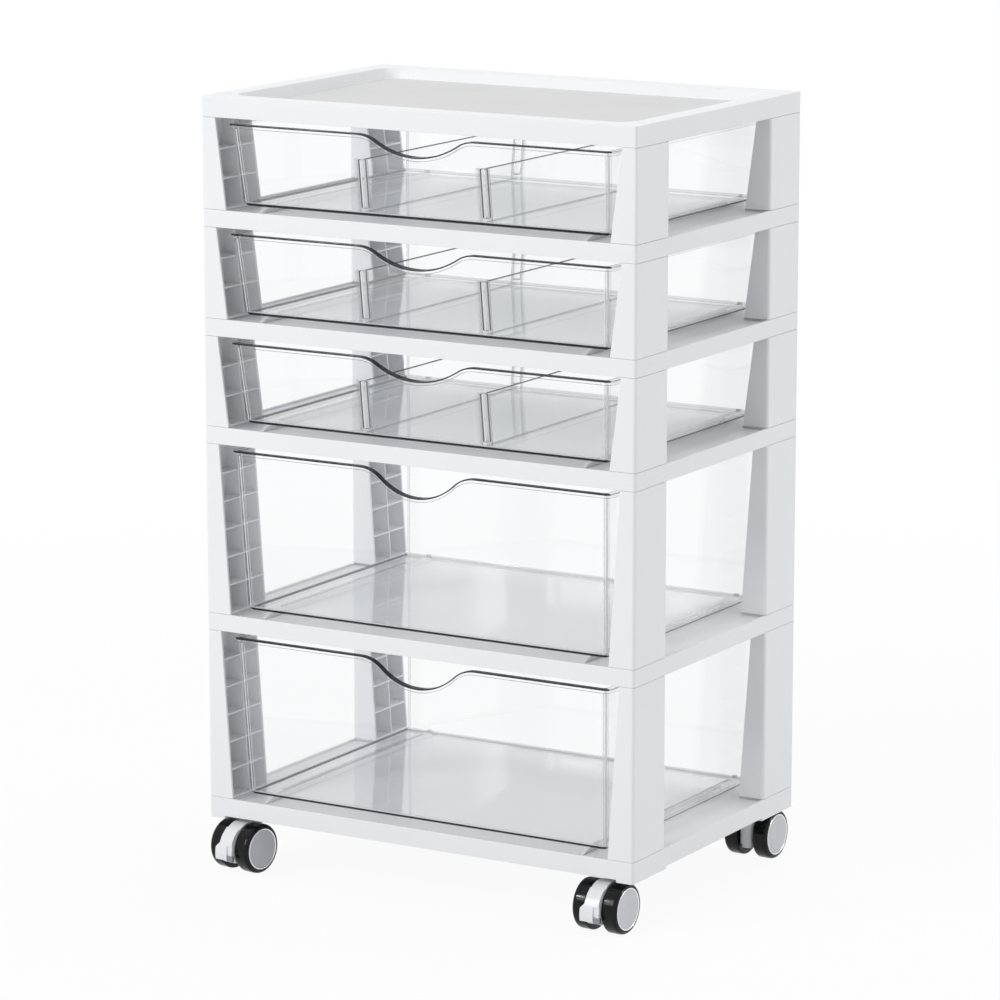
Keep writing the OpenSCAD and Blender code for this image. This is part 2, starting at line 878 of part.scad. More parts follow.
module wheel(corner, which) {
    // the outer wheel is the one next to the frame's side
    away = side_of(corner) * (caster_turn(corner) > 90 ? -1 : 1);
    x_sign = which == "outer" ? away : -away;
    at_caster(corner)
        translate([0, -trail, wheel_r])
        rotate([0, 90 * x_sign, 0])
        translate([0, 0, wheel_x]) {
            color(tyre_black)
                difference() {
                    rotate_extrude() wheel_outline();
                    translate([0, 0, wheel_w - cap_seat])
                        cylinder(d = cap_d + 2 * cap_gap, h = 2 * cap_seat);
                }
            color(cap_grey)
                translate([0, 0, wheel_w - cap_seat + press_gap])
                cylinder(d = cap_d, h = cap_t);
        }
}

// A wedge about the axle, from angle a0 under the axle's level to a1 over it, towards -Y
module sector(a0, a1, x0, x1) {
    reach = 2 * wheel_r;
    translate([x0, -trail, wheel_r])
        rotate([90, 0, 90])
        linear_extrude(x1 - x0)
        polygon([
            [0, 0],
            [-reach * cos(a0), reach * sin(a0)],
            [-reach, 0],
            [-reach * cos(a1), reach * sin(a1)]
        ]);
}

// The curved plate of a lever between two wedges' angles
module lever_plate(a0, a1, x0, x1) {
    intersection() {
        difference() {
            translate([0, -trail, wheel_r - lever_set])
                rotate([0, 90, 0])
                cylinder(r = lever_out_r, h = 4 * wheel_w, center = true);
            on_axle() cylinder(r = lever_in_r, h = 5 * wheel_w, center = true);
        }
        sector(a0, a1, x0, x1);
    }
}

// A lever's outline seen from its front: a strip, and a wider foot under sloping shoulders
module lever_front(half) {
    low = wheel_r - lever_out_r;
    full = wheel_r + lever_out_r * sin(foot_top_a);
    slope = wheel_r + lever_out_r * sin(shoulder_a);
    high = wheel_r + lever_out_r;
    rotate([90, 0, 0])
        linear_extrude(2 * lever_out_r + trail)
        polygon([
            [-half - foot_out, low],
            [half + foot_side, low],
            [half + foot_side, full],
            [half, slope],
            [half, high],
            [-half, high],
            [-half, slope],
            [-half - foot_out, full]
        ]);
}

module brake_lever(corner) {
    half = housing_w / 2;
    foot_z = wheel_r - lever_out_r * sin(lever_foot_a);
    recess_x = half + foot_side - recess_w - recess_edge;
    face_y = -trail - lever_out_r;
    at_caster(corner) {
        color(white) {
            difference() {
                intersection() {
                    lever_plate(-lever_foot_a, lever_top_a, -half - foot_out, half + foot_side);
                    lever_front(half);
                }
                translate([recess_x, face_y - over_cut, foot_z - over_cut])
                    cube([recess_w, recess_deep + over_cut, recess_h + over_cut]);
                // a notch in the lower corner for the tab
                translate([recess_x, face_y - over_cut, foot_z - over_cut])
                    cube([half, recess_deep + over_cut, notch_h + over_cut]);
            }
            difference() {
                union() {
                    on_hinge() cylinder(r = lug_r, h = lug_w, center = true);
                    intersection() {
                        translate([-lug_w / 2, hinge_y - wheel_r, hinge_z - lug_r])
                            cube([lug_w, wheel_r, 2 * lug_r]);
                        on_axle() cylinder(r = lever_in_r + lug_lap, h = lug_w, center = true);
                        sector(0, lever_top_a, -lug_w / 2, lug_w / 2);
                    }
                }
                on_hinge() cylinder(r = hinge_r + run_gap, h = 2 * lug_w, center = true);
            }
        }
        color(steel)
            translate([recess_x + tab_gap, face_y + tab_gap, foot_z - tab_drop])
            cube([half + foot_side + tab_out - recess_x - tab_gap, tab_t, tab_drop + notch_h - tab_gap]);
    }
}

top_panel();
for (s = LEVELS) {
    shelf(s);
}
base_frame();
for (t = TIERS) {
    for (c = CORNERS) {
        post(t, c);
    }
}
for (t = TIERS) {
    drawer(t);
}
for (t = SHORT_TIERS) {
    for (s = SIDES) {
        divider(t, s);
    }
}
for (c = CORNERS) {
    caster_stem(c);
    caster_housing(c);
    axle(c);
    for (w = WHEELS) {
        wheel(c, w);
    }
}
for (c = FRONT_CORNERS) {
    brake_lever(c);
}
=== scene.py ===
import json
import math

import bmesh
import bpy
from mathutils import Matrix, Vector

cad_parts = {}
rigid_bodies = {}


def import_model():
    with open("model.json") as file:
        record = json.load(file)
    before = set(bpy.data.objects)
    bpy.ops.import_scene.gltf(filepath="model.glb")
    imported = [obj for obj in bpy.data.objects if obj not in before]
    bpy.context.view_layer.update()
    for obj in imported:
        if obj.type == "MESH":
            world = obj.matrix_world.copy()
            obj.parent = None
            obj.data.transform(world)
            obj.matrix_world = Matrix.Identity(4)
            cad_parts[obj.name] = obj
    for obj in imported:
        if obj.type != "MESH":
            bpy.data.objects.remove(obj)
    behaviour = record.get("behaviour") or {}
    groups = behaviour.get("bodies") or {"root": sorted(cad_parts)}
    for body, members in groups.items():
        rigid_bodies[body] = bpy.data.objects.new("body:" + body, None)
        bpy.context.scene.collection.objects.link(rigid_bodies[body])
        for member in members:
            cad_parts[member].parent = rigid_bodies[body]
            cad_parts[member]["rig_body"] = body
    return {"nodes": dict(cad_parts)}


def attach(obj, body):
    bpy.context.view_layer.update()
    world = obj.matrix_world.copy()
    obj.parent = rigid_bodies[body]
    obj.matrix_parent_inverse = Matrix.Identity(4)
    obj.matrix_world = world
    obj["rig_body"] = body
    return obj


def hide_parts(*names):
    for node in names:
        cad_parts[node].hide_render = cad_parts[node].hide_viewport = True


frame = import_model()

# A white drawer tower on casters: softened panels, ribbed posts, clear drawers and glossy wheels
scene = bpy.context.scene
nodes = frame["nodes"]
mm = 0.001
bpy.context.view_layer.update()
print("frame loaded,", len(nodes), "nodes")

cameraView = {
    "azimuth": 30.67,  # degrees round to the right of the front
    "elevation": 11.53,  # degrees over the level
    "distance": 3.492,
    "lens": 167.27,
    "sensor": 36,
    "target": (-0.00206, 0.0001, 0.28184),
}


def placeCamera(view):
    azimuth, elevation = math.radians(view["azimuth"]), math.radians(view["elevation"])
    flat = math.cos(elevation)
    away = Vector((math.sin(azimuth) * flat, -math.cos(azimuth) * flat, math.sin(elevation)))
    lens = bpy.data.cameras.new("camera")
    lens.lens, lens.sensor_width = view["lens"], view["sensor"]
    camera = bpy.data.objects.new("camera", lens)
    camera.location = Vector(view["target"]) + away * view["distance"]
    camera.rotation_euler = away.to_track_quat("Z", "Y").to_euler()
    scene.collection.objects.link(camera)
    scene.camera = camera


placeCamera(cameraView)
print("camera placed")


# Node trees. Arithmetic on a Wire adds Math nodes, and Sheet.add makes any other node.
class Wire:
    def __init__(self, sheet, socket):
        self.sheet, self.socket = sheet, socket

    def math(self, operation, *values):
        return self.sheet.add("ShaderNodeMath", {"operation": operation}, dict(enumerate(values)))

    def __add__(self, other):
        return self.math("ADD", self, other)

    def __radd__(self, other):
        return self.math("ADD", other, self)

    def __sub__(self, other):
        return self.math("SUBTRACT", self, other)

    def __rsub__(self, other):
        return self.math("SUBTRACT", other, self)

    def __mul__(self, other):
        return self.math("MULTIPLY", self, other)

    def __rmul__(self, other):
        return self.math("MULTIPLY", other, self)

    def __truediv__(self, other):
        return self.math("DIVIDE", self, other)

    def __rtruediv__(self, other):
        return self.math("DIVIDE", other, self)

    def __pow__(self, other):
        return self.math("POWER", self, other)

    def __gt__(self, other):
        return self.math("GREATER_THAN", self, other)

    def __lt__(self, other):
        return self.math("LESS_THAN", self, other)


class Sheet:
    def __init__(self, tree):
        self.tree = tree
        tree.nodes.clear()

    def add(self, kind, settings=None, values=None, output=0):
        made = self.tree.nodes.new(kind)
        for name, setting in (settings or {}).items():
            setattr(made, name, setting)
        for name, value in (values or {}).items():
            for one in value if isinstance(value, list) else [value]:
                if isinstance(one, Wire):
                    self.tree.links.new(one.socket, made.inputs[name])
                else:
                    made.inputs[name].default_value = one
        return Wire(self, made.outputs[output]) if made.outputs else None


def blendColours(sheet, share, first, second):
    return sheet.add("ShaderNodeMix", {"data_type": "RGBA"}, {0: share, 6: first, 7: second}, 2)


def fadeBetween(sheet, value, start, end):
    # 0 below start, 1 above end
    settings = {"interpolation_type": "SMOOTHSTEP"}
    return sheet.add("ShaderNodeMapRange", settings, {"Value": value, "From Min": start, "From Max": end})


def newFinish(name):
    finish = bpy.data.materials.new(name)
    finish.use_nodes = True
    return finish, Sheet(finish.node_tree)


def speckle(sheet, size, detail=2.0):
    # noise in the piece's own metres, its lumps about size across
    place = sheet.add("ShaderNodeTexCoord", output=3)
    values = {"Vector": place, "Scale": 1 / size, "Detail": detail}
    return sheet.add("ShaderNodeTexNoise", {}, values)


mouldedSet = {  # what the moulded finishes share, where they don't say otherwise
    "driftFade": (0.35, 0.65),
    "grainDetail": 3.0,
    "flowDetail": 1.0,
    "metallic": 0.0,
    "specular": 0.5,
    "coat": 0.0,
    "coatRoughness": 0.1,
}


def mouldedFinish(name, own):
    # moulded plastic: an even colour with slow, faint drift, a fine grain and a soft sheen
    made = {**mouldedSet, **own}
    finish, sheet = newFinish(name)
    drift = speckle(sheet, made["driftSize"])
    grain = speckle(sheet, made["grainSize"], made["grainDetail"])
    flow = speckle(sheet, made["flowSize"], made["flowDetail"])
    deep = tuple(channel * (1 - made["drift"]) for channel in made["colour"])
    share = fadeBetween(sheet, drift, *made["driftFade"])
    uneven = (grain - 0.5) + (flow - 0.5)
    bump = sheet.add("ShaderNodeBump", {}, {
        "Strength": made["grainStrength"],
        "Distance": made["grainDepth"],
        "Height": grain + flow * made["flowShare"],
    })
    shader = sheet.add("ShaderNodeBsdfPrincipled", {}, {
        "Base Color": blendColours(sheet, share, (*deep, 1), (*made["colour"], 1)),
        "Roughness": made["roughness"] + uneven * made["roughDrift"],
        "Normal": bump,
        "Metallic": made["metallic"],
        "Specular IOR Level": made["specular"],
        "Coat Weight": made["coat"],
        "Coat Roughness": made["coatRoughness"],
    })
    sheet.add("ShaderNodeOutputMaterial", {}, {"Surface": shader})
    return finish


frameWhite = mouldedFinish("frame white", {
    "colour": (0.852, 0.861, 0.878),
    "drift": 0.012,
    "driftSize": 0.09,
    "grainSize": 0.0005,
    "flowSize": 0.03,
    "flowShare": 2.0,
    "grainStrength": 0.35,
    "grainDepth": 0.00003,
    "roughness": 0.36,
    "roughDrift": 0.08,
})
trayWhite = mouldedFinish("tray white", {
    "colour": (0.67, 0.67, 0.67),
    "drift": 0.02,
    "driftSize": 0.05,
    "grainSize": 0.0009,
    "flowSize": 0.02,
    "flowShare": 0.6,
    "grainStrength": 0.6,
    "grainDepth": 0.00006,
    "roughness": 0.55,
    "roughDrift": 0.14,
    "specular": 0.4,
})
casterWhite = mouldedFinish("caster white", {
    "colour": (0.83, 0.84, 0.86),
    "drift": 0.01,
    "driftSize": 0.02,
    "grainSize": 0.0004,
    "flowSize": 0.008,
    "flowShare": 1.5,
    "grainStrength": 0.2,
    "grainDepth": 0.00002,
    "roughness": 0.28,
    "roughDrift": 0.06,
    "coat": 0.15,
    "coatRoughness": 0.08,
})
tyreBlack = mouldedFinish("tyre black", {
    "colour": (0.006, 0.006, 0.007),
    "drift": 0.25,
    "driftSize": 0.006,
    "grainSize": 0.0006,
    "flowSize": 0.004,
    "flowShare": 1.2,
    "grainStrength": 0.4,
    "grainDepth": 0.00005,
    "roughness": 0.1,
    "roughDrift": 0.08,
    "specular": 0.2,
})
capGrey = mouldedFinish("hub cap grey", {
    "colour": (0.64, 0.645, 0.675),
    "drift": 0.02,
    "driftSize": 0.01,
    "grainSize": 0.0003,
    "flowSize": 0.006,
    "flowShare": 0.8,
    "grainStrength": 0.25,
    "grainDepth": 0.00002,
    "roughness": 0.33,
    "roughDrift": 0.08,
})
# a ring round the hub cap, lighter than the cap: a painted highlight on its rounded rim, with real gloss on
# top
ringHighlight = mouldedFinish("cap ring painted highlight", {
    "colour": (0.90, 0.905, 0.92),
    "drift": 0.02,
    "driftSize": 0.01,
    "grainSize": 0.0003,
    "flowSize": 0.004,
    "flowShare": 0.8,
    "grainStrength": 0.2,
    "grainDepth": 0.00002,
    "roughness": 0.2,
    "roughDrift": 0.05,
    "metallic": 0.7,
    "specular": 0.6,
    "coat": 0.3,
    "coatRoughness": 0.05,
})
steelSet = {
    "pitch": 0.0006,  # from one turning mark to the next
    "markStrength": 0.3,
    "markDepth": 0.00002,
    "smudgeSize": 0.002,
    "smudgeShade": 0.8,
    "roughness": 0.22,
    "roughDrift": 0.2,
}


def turnedSteel(name, colour):
    # steel with fine rings across it from turning
    made = steelSet
    finish, sheet = newFinish(name)
    place = sheet.add("ShaderNodeTexCoord", output=3)
    height = sheet.add("ShaderNodeSeparateXYZ", {}, {"Vector": place}, 2) * (math.tau / made["pitch"])
    rings = height.math("SINE", height) * 0.5 + 0.5
    smudge = speckle(sheet, made["smudgeSize"])
    smudged = tuple(channel * made["smudgeShade"] for channel in colour)
    bump = sheet.add("ShaderNodeBump", {}, {
        "Strength": made["markStrength"],
        "Distance": made["markDepth"],
        "Height": rings + smudge,
    })
    shader = sheet.add("ShaderNodeBsdfPrincipled", {}, {
        "Base Color": blendColours(sheet, smudge, (*smudged, 1), (*colour, 1)),
        "Metallic": 1.0,
        "Roughness": smudge * made["roughDrift"] + made["roughness"],
        "Normal": bump,
    })
    sheet.add("ShaderNodeOutputMaterial", {}, {"Surface": shader})
    return finish


steelBright = turnedSteel("bright steel", (0.58, 0.59, 0.61))
steelDull = turnedSteel("dull steel", (0.3, 0.31, 0.33))
clearSet = {  # what the clear finishes share
    "facingBlend": 0.5,
    "rippleDetail": 1.0,
    "rippleDepth": 0.0002,
    "rippleStrength": 0.2,
    "roughness": 0.14,
    "roughDrift": 0.05,
    "specular": 0.15,
    "paintedOverMirror": 0.95,  # how much of the mirror a solid painted edge line takes away
    "passing": 0.985,
}


def clearFinish(name, own):
    # clear styrene: see-through, with dark lines and highlights painted on the mesh along its rounded
    # edges, where the real one bends light, and more mirror the flatter it is looked along
    made = {**clearSet, **own}
    finish, sheet = newFinish(name)
    # painted shade and highlight: the colour of each painted edge line and how solid it looks
    shade = sheet.add("ShaderNodeAttribute", {"attribute_name": "paintedEdgeLight"}, output=0)
    held = sheet.add("ShaderNodeAttribute", {"attribute_name": "paintedEdgeLight"}, output=3)
    facing = sheet.add("ShaderNodeLayerWeight", {}, {"Blend": made["facingBlend"]}, 1)
    ripple = speckle(sheet, made["rippleSize"], made["rippleDetail"])
    bump = sheet.add("ShaderNodeBump", {}, {
        "Strength": made["rippleStrength"],
        "Distance": made["rippleDepth"],
        "Height": ripple,
    })
    for start, end, strength, colour in made["paintedBands"]:  # painted shade and painted highlights in bands along a round bar, by how flat it is looked along, where the real one bends light
        band = fadeBetween(sheet, facing, start, end) * strength
        shade = blendColours(sheet, band, shade, (*colour, 1))
        held = held * (1 - band) + band
    solid = sheet.add("ShaderNodeBsdfPrincipled", {}, {
        "Base Color": shade,
        "Roughness": ripple * made["roughDrift"] + made["roughness"],
        "Normal": bump,
        "Specular IOR Level": made["specular"],
    })
    through = sheet.add("ShaderNodeBsdfTransparent", {}, {"Color": (*made["glow"], 1)})
    cover = sheet.add("ShaderNodeMixShader", {}, {0: held, 1: through, 2: solid})
    mirror = sheet.add("ShaderNodeBsdfGlossy", {}, {
        "Color": (1, 1, 1, 1),
        "Roughness": made["gloss"],
        "Normal": bump,
    })
    share = (facing**5 * made["grazing"] + made["headOn"]) * (1 - held * made["paintedOverMirror"])
    shown = sheet.add("ShaderNodeMixShader", {}, {0: share, 1: cover, 2: mirror})
    # lamps and light from the other pieces shine on through
    clear = sheet.add("ShaderNodeBsdfTransparent", {}, {"Color": (*[made["passing"]] * 3, 1)})
    for ray in ("Is Diffuse Ray", "Is Shadow Ray"):
        passing = sheet.add("ShaderNodeLightPath", output=ray)
        shown = sheet.add("ShaderNodeMixShader", {}, {0: passing, 1: shown, 2: clear})
    sheet.add("ShaderNodeOutputMaterial", {}, {"Surface": shown})
    return finish


clearWall = clearFinish("clear wall", {
    "glow": (0.993, 0.996, 0.997),
    "rippleSize": 0.03,
    "paintedBands": [],
    "gloss": 0.04,
    "grazing": 0.7,
    "headOn": 0.03,
})
# front rods: painted dark edges with painted highlight bands between them
clearRod = clearFinish("clear rod", {
    "glow": (0.99, 0.993, 0.995),
    "rippleSize": 0.004,
    "paintedBands": [
        (0.02, 0.06, 0.5, (0.45, 0.46, 0.49)),
        (0.07, 0.12, 0.85, (0.96, 0.97, 0.98)),
        (0.18, 0.27, 0.98, (0.012, 0.012, 0.018)),
        (0.60, 0.72, 0.9, (0.95, 0.96, 0.98)),
    ],
    "gloss": 0.05,
    "grazing": 0.2,
    "headOn": 0.04,
})
# rods behind: fainter painted grey and highlight bands
clearRodBehind = clearFinish("clear rod behind", {
    "glow": (0.993, 0.996, 0.997),
    "rippleSize": 0.004,
    "paintedBands": [
        (0.30, 0.40, 0.35, (0.50, 0.52, 0.55)),
        (0.50, 0.60, 0.8, (0.95, 0.96, 0.98)),
    ],
    "gloss": 0.05,
    "grazing": 0.2,
    "headOn": 0.04,
})
print("finishes made")


# Making and finishing pieces
def newPiece(name, shape, *finishes):
    mesh = bpy.data.meshes.new(name)
    shape.to_mesh(mesh)
    shape.free()
    for finish in finishes:
        mesh.materials.append(finish)
    piece = bpy.data.objects.new(name, mesh)
    scene.collection.objects.link(piece)
    return piece


def settle(piece):
    # the modifiers' result becomes the plain mesh
    graph = bpy.context.evaluated_depsgraph_get()
    settled = bpy.data.meshes.new_from_object(
        piece.evaluated_get(graph), preserve_all_data_layers=True, depsgraph=graph
    )
    piece.modifiers.clear()
    worn, piece.data = piece.data, settled
    settled.name = piece.name
    bpy.data.meshes.remove(worn)
    return piece


def soften(piece, width, segments=2, angle=40, crease=35, chosen="ANGLE"):
    # rounds the sharp edges and keeps the flat faces flat to the eye
    if width:
        bevel = piece.modifiers.new("bevel", "BEVEL")
        bevel.width, bevel.segments, bevel.limit_method = width, segments, chosen
        bevel.angle_limit = math.radians(angle)
        bevel.use_clamp_overlap = False
        bevel.miter_outer = "MITER_ARC"
        settle(piece)
    piece.data.shade_smooth()
    piece.data.set_sharp_from_angle(angle=math.radians(crease))
    even = piece.modifiers.new("even", "WEIGHTED_NORMAL")
    even.keep_sharp = True
    return settle(piece)


def takePlace(piece, node):
    # the piece stands for the node and moves with its body
    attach(piece, nodes[node]["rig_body"])
    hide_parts(node)


levelFace = 0.99  # a face whose normal points up or down by more than this lies level


def looseCopy(node, gap=0.02 * mm, flat=math.radians(0.6)):
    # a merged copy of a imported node's mesh, its flat faces made whole again; those that look down stay
    # in pieces, because a panel's underside has too many hollows in it for one face
    shape = bmesh.new()
    shape.from_mesh(nodes[node].data)
    bmesh.ops.remove_doubles(shape, verts=shape.verts, dist=gap)
    bmesh.ops.dissolve_degenerate(shape, edges=shape.edges, dist=gap)
    joins = [edge for edge in shape.edges if all(face.normal.z > -levelFace for face in edge.link_faces)]
    bmesh.ops.dissolve_limit(shape, angle_limit=flat, verts=shape.verts, edges=joins)
    return shape


# Panels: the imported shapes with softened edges, and a grained floor in the top one
panelSet = {
    "softness": 0.35 * mm,
    "trayFloor": 0.5804,
    "trayFloorSlack": 0.1 * mm,
    "steep": 0.5,  # a normal's upward share, under which a face is more of a wall
    "cornerReach": 1.2 * mm,  # how far a rounded corner's faces stay inside the panel's own box
    "sharp": math.radians(40),
}
halfFrame = (183.5 * mm, 125.5 * mm)


def panel(node, name):
    # the edges on top and round the outside are softened, those of the ribs underneath stay sharp
    shape = looseCopy(node)
    softEdge = shape.edges.layers.float.new("bevel_weight_edge")
    for face in shape.faces:
        middle, facing = face.calc_center_median(), face.normal
        low = abs(middle.z - panelSet["trayFloor"]) < panelSet["trayFloorSlack"]
        face.material_index = 1 if low and facing.z > levelFace else 0
        inside = sum(abs(facing[k]) * halfFrame[k] - facing[k] * middle[k] for k in (0, 1))
        outside = facing.z > -panelSet["steep"] and inside < panelSet["cornerReach"]
        if facing.z > panelSet["steep"] or outside:
            for edge in face.edges:
                if edge.is_manifold and edge.calc_face_angle() > panelSet["sharp"]:
                    edge[softEdge] = 1
    piece = newPiece(name, shape, frameWhite, trayWhite)
    soften(piece, panelSet["softness"], chosen="WEIGHT")
    takePlace(piece, node)


panel("top_panel", "topPanel")
for shelf in range(1, 5):
    panel(f"shelf_{shelf}", f"shelfPanel{shelf}")
panel("base_frame", "basePanel")
print("panels made")


# Posts: one tree makes a leaning post with a grid of ribs in its open side
postSet = {
    "Top Thickness": 12.3 * mm,
    "Foot Thickness": 21.2 * mm,
    "Depth": 48 * mm,
    "Wall": 2 * mm,
    "Rib": 1.4 * mm,
    "Corner": 2.5 * mm,
    "Peg Radius": 3.1 * mm,
    "Peg In": 8 * mm,
    "Peg Back": 22 * mm,
    "Pin Radius": 1.6 * mm,
    "Pin Back": 37 * mm,
    "Peg Length": 5.4 * mm,
}
tiers = {  # foot of each tier, its clear height, and the rows of ribbed cells in its posts
    1: (504.7 * mm, 68.4 * mm, 3),
    2: (423.2 * mm, 68.4 * mm, 3),
    3: (341.7 * mm, 68.4 * mm, 3),
    4: (199.0 * mm, 129.6 * mm, 6),
    5: (56.3 * mm, 129.6 * mm, 6),
}
postMaking = {
    "gap": 0.12 * mm,  # fine seam at each end of a post
    "softness": 0.45 * mm,
    "cornerSteps": 5,
    "pegSides": 24,
    "merging": 0.01 * mm,
}


def ribbedPostTree():
    tree = bpy.data.node_groups.new("ribbed post", "GeometryNodeTree")
    sheet = Sheet(tree)
    tree.interface.new_socket("Geometry", in_out="OUTPUT", socket_type="NodeSocketGeometry")
    given = {}
    for name in ["Height", *postSet]:
        given[name] = tree.interface.new_socket(name, in_out="INPUT", socket_type="NodeSocketFloat")
    given["Rows"] = tree.interface.new_socket("Rows", in_out="INPUT", socket_type="NodeSocketInt")
    given["Finish"] = tree.interface.new_socket("Finish", in_out="INPUT", socket_type="NodeSocketMaterial")
    group = tree.nodes.new("NodeGroupInput")
    size = {name: Wire(sheet, group.outputs[index]) for index, name in enumerate(given)}

    def point(x=0.0, y=0.0, z=0.0):
        return sheet.add("ShaderNodeCombineXYZ", {}, {"X": x, "Y": y, "Z": z})

    # outline in plan, its two outer corners rounded, drawn up to the post's height
    foot, deep, high = size["Foot Thickness"], size["Depth"], size["Height"]
    corners = {
        "Point 1": point(0.0, 0.0),
        "Point 2": point(foot, 0.0),
        "Point 3": point(foot, deep),
        "Point 4": point(0.0, deep),
    }
    outline = sheet.add("GeometryNodeCurvePrimitiveQuadrilateral", {"mode": "POINTS"}, corners)
    along = sheet.add("ShaderNodeSeparateXYZ", {}, {"Vector": sheet.add("GeometryNodeInputPosition")})
    outer = along < foot * 0.5
    rounded = sheet.add("GeometryNodeFilletCurve", {"mode": "POLY"}, {
        "Curve": outline, "Count": postMaking["cornerSteps"], "Radius": outer * size["Corner"],
    })
    base = sheet.add("GeometryNodeFillCurve", {"mode": "NGONS"}, {"Curve": rounded})
    lid = sheet.add("GeometryNodeExtrudeMesh", {"mode": "FACES"}, {
        "Mesh": base, "Offset": point(0.0, 0.0, high), "Individual": False,
    })
    under = sheet.add("GeometryNodeFlipFaces", {}, {"Mesh": base})
    block = sheet.add("GeometryNodeJoinGeometry", {}, {"Geometry": [lid, under]})
    merging = {"Geometry": block, "Distance": postMaking["merging"]}
    block = sheet.add("GeometryNodeMergeByDistance", {}, merging)

    # the open side leans: thick at the foot and thin at the top
    inner = along > foot * 0.5
    rise = sheet.add("ShaderNodeSeparateXYZ", {}, {"Vector": sheet.add("GeometryNodeInputPosition")}, 2)
    upper = rise > high * 0.5
    leaning = {"Geometry": block, "Selection": inner * upper, "Offset": point(size["Top Thickness"] - foot)}
    block = sheet.add("GeometryNodeSetPosition", {}, leaning)

    # cells in two columns, cut to the wall
    column = (deep - size["Wall"] * 2 - size["Rib"]) * 0.5
    pitch = (high - size["Wall"] * 2 + size["Rib"]) / size["Rows"]
    grid = sheet.add("GeometryNodeMeshGrid", {}, {
        "Size X": column + size["Rib"],
        "Size Y": pitch * (size["Rows"] - 1),
        "Vertices X": 2,
        "Vertices Y": size["Rows"],
    })
    upright = sheet.add("GeometryNodeTransform", {}, {
        "Geometry": grid,
        "Translation": point(size["Wall"] + foot, deep * 0.5, high * 0.5),
        "Rotation": (math.pi / 2, 0, math.pi / 2),
    })
    cell = sheet.add("GeometryNodeMeshCube", {}, {"Size": point(foot * 2, column, pitch - size["Rib"])})
    cells = sheet.add("GeometryNodeInstanceOnPoints", {}, {"Points": upright, "Instance": cell})
    cells = sheet.add("GeometryNodeRealizeInstances", {}, {"Geometry": cells})
    cut = {"Mesh 1": block, "Mesh 2": cells}
    body = sheet.add("GeometryNodeMeshBoolean", {"operation": "DIFFERENCE", "solver": "EXACT"}, cut)

    # a peg and a pin at each end
    parts = [body]
    for radius, back in (("Peg Radius", "Peg Back"), ("Pin Radius", "Pin Back")):
        rod = sheet.add("GeometryNodeMeshCylinder", {}, {
            "Vertices": postMaking["pegSides"], "Radius": size[radius], "Depth": size["Peg Length"],
        })
        for middle in (size["Peg Length"] * -0.5, high + size["Peg Length"] * 0.5):
            parts.append(sheet.add("GeometryNodeTransform", {}, {
                "Geometry": rod, "Translation": point(size["Peg In"], size[back], middle),
            }))
    whole = sheet.add("GeometryNodeJoinGeometry", {}, {"Geometry": parts})
    whole = sheet.add("GeometryNodeRealizeInstances", {}, {"Geometry": whole})
    whole = sheet.add("GeometryNodeSetMaterial", {}, {"Geometry": whole, "Material": size["Finish"]})
    sheet.add("NodeGroupOutput", {}, {"Geometry": whole})
    return tree, {name: socket.identifier for name, socket in given.items()}


postTree, postInputs = ribbedPostTree()


def plainPost(height, rows):
    post = newPiece("plainPost", bmesh.new(), frameWhite)
    maker = post.modifiers.new("ribbed post", "NODES")
    maker.node_group = postTree
    values = {**postSet, "Height": height - 2 * postMaking["gap"], "Rows": rows, "Finish": frameWhite}
    for name, value in values.items():
        maker[postInputs[name]] = value
    return settle(post)


def placePost(tier, side, end, moulds):
    foot, height, rows = tiers[tier]
    corner = ("front_" if end < 0 else "rear_") + ("left" if side < 0 else "right")
    shape = bmesh.new()
    shape.from_mesh(moulds[rows].data)
    turn = Matrix.Diagonal((-side, -end, 1, 1))
    put = Matrix.Translation((side * halfFrame[0], end * halfFrame[1], foot + postMaking["gap"])) @ turn
    bmesh.ops.transform(shape, matrix=put, verts=shape.verts)
    if side * end < 0:
        bmesh.ops.reverse_faces(shape, faces=shape.faces)
    piece = newPiece(f"cornerPost{tier}_{corner}", shape, frameWhite)
    soften(piece, postMaking["softness"])
    takePlace(piece, f"post_{tier}_{corner}")


moulds = {rows: plainPost(height, rows) for height, rows in {tier[1:] for tier in tiers.values()}}
for tier in tiers:
    for side in (-1, 1):
        for end in (-1, 1):
            placePost(tier, side, end, moulds)
for mould in moulds.values():
    bpy.data.objects.remove(mould)
print("posts made")


# Drawers: one wall profile carried round the plan, its rim dipping in front for the fingers
drawerSet = {
    "rim": (162.5 * mm, 123.3 * mm),  # half sizes
    "top": (158.5 * mm, 121.1 * mm),
    "lean": (4 * mm, 8.1 * mm),
    "wall": 2 * mm,
    "corner": 4 * mm,
    "rimCorner": 6.2 * mm,
    "footRound": 3 * mm,
    "innerRound": 2.2 * mm,
    "lip": 3.2 * mm,
    "flange": 1.8 * mm,
    "dipHalf": 49 * mm,
    "dipShoulder": 26 * mm,
    "shortDip": 14.3 * mm,
    "tallDip": 19.2 * mm,
    "arcSteps": 8,
    "dipSteps": 40,
    "footTurn": math.radians(15),
    "innerTurn": math.radians(18),
    "leastCorner": 1.5 * mm,
    "sideRim": 0.6,  # the rim is undercut where the plan's normal points sideways by more than this
    "sideTone": 0.6,  # share of a corner's turn from which the side's painted lines hold
    "merging": 0.002 * mm,
    "underside": 2.5 * mm,  # over the tier's foot
    "rimGap": 4.4 * mm,  # under the next panel
}
dividedTiers = (1, 2, 3)
paintedTones = {  # painted shade and painted highlights for the clear edges: colour and how solid it looks
    "clear": (0.92, 0.93, 0.94, 0.01),
    "floor": (0.80, 0.82, 0.84, 0.03),
    "dark": (0.012, 0.012, 0.018, 0.98),
    "deep": (0.05, 0.05, 0.06, 0.85),
    "grey": (0.16, 0.165, 0.18, 0.6),
    "faint": (0.32, 0.33, 0.35, 0.3),
    "light": (0.95, 0.96, 0.98, 0.85),
    "pale": (0.92, 0.93, 0.95, 0.45),
}
